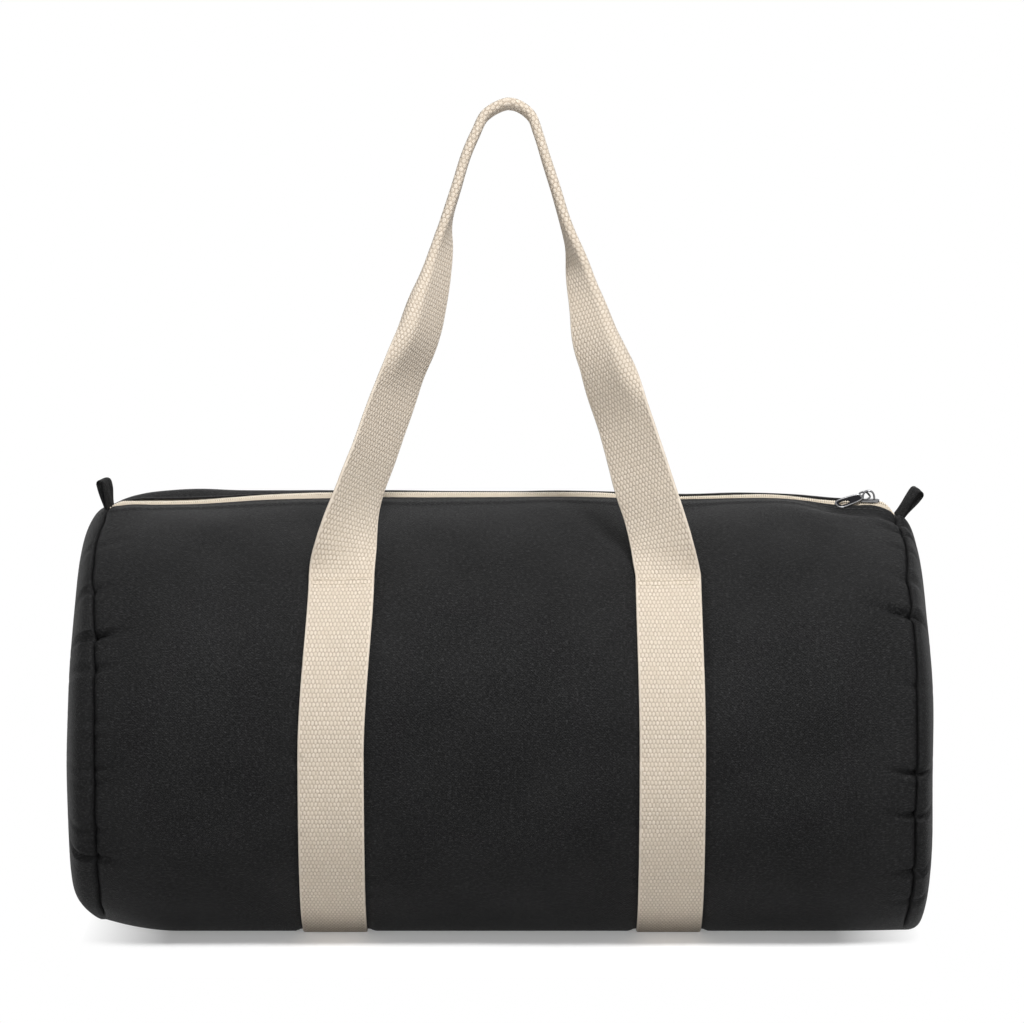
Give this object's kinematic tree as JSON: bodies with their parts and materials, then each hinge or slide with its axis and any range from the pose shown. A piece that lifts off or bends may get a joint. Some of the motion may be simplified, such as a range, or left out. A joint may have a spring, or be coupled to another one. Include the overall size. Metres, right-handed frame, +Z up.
{
  "type": "barrel sports bag",
  "caption": "Barrel sports bag of black cotton canvas with natural webbing bands and swinging carry handles, and a coil zip with a slider and pull along the top.",
  "frame": {"origin": "middle of the flat base, on the surface that the bag stands on", "axes": "+Z up; +X along the bag towards the end where the slider is parked; -Y is the front, with the upright handle"},
  "size_m": [0.4996, 0.3404, 0.477],
  "materials": {
    "black_canvas": "matt plain-weave cotton canvas",
    "natural_webbing": "undyed cotton webbing, basket weave",
    "natural_zip": "undyed tape with a moulded coil",
    "natural_thread": "undyed sewing thread",
    "slider_chrome": "polished plate",
    "pull_gunmetal": "dark plated, bright on its edges"
  },
  "bodies": {
    "root": {"body_panel": "black_canvas", "end_panel_left": "black_canvas", "end_panel_right": "black_canvas", "seam_binding_left": "black_canvas", "seam_binding_right": "black_canvas", "end_tab_left": "black_canvas", "end_tab_right": "black_canvas", "band_left": "natural_webbing", "band_right": "natural_webbing", "cross_stitch_front_left": "natural_thread", "cross_stitch_front_right": "natural_thread", "cross_stitch_rear_left": "natural_thread", "cross_stitch_rear_right": "natural_thread", "zip_tape_front": "natural_zip", "zip_tape_rear": "natural_zip", "zip_coil_front": "natural_zip", "zip_coil_rear": "natural_zip"},
    "slider": {"zip_slider": "slider_chrome"},
    "pull": {"zip_pull": "pull_gunmetal"},
    "front_handle": {"front_handle": "natural_webbing"},
    "rear_handle": {"rear_handle": "natural_webbing"}
  },
  "joints": [
    {"name": "slider_slide", "type": "slide", "parent": "root", "child": "slider", "axis": [-1, 0, 0], "range_m": [0, 0.42]},
    {"name": "pull_hinge", "type": "hinge", "parent": "slider", "child": "pull", "pos_m": [0.2125, 0, 0.24635], "axis": [-0.3328, 0.9404, 0.0692], "range_deg": [0, 160]},
    {"name": "front_handle_swing", "type": "hinge", "parent": "root", "child": "front_handle", "pos_m": [0, -0.08493, 0.21173], "axis": [1, 0, 0], "range_deg": [-26, 146]},
    {"name": "rear_handle_swing", "type": "hinge", "parent": "root", "child": "rear_handle", "pos_m": [0, 0.08493, 0.21173], "axis": [1, 0, 0], "range_deg": [0, 168]}
  ]
}
